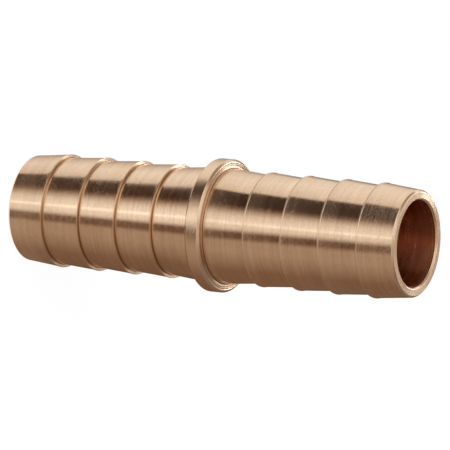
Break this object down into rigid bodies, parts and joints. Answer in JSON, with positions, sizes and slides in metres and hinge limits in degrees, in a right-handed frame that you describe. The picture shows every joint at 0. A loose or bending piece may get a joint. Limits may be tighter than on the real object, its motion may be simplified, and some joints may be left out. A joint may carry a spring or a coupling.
{
  "type": "barbed hose mender",
  "caption": "Straight barbed hose mender turned from one bar: two stepped hose tails back to back on a narrow collar, round one plain through bore.",
  "frame": {"origin": "centre of the lower end face, on which the mender stands", "axes": "+Z along the bore axis, up; the two tails are the same, so the lower one is chosen freely; X and Y are free round the axis"},
  "size_m": [0.0166, 0.0166, 0.054],
  "materials": {
    "brass": "bare turned surface, satin, with fine tool marks round the axis"
  },
  "bodies": {
    "root": {"hose_mender": "brass"}
  },
  "joints": []
}
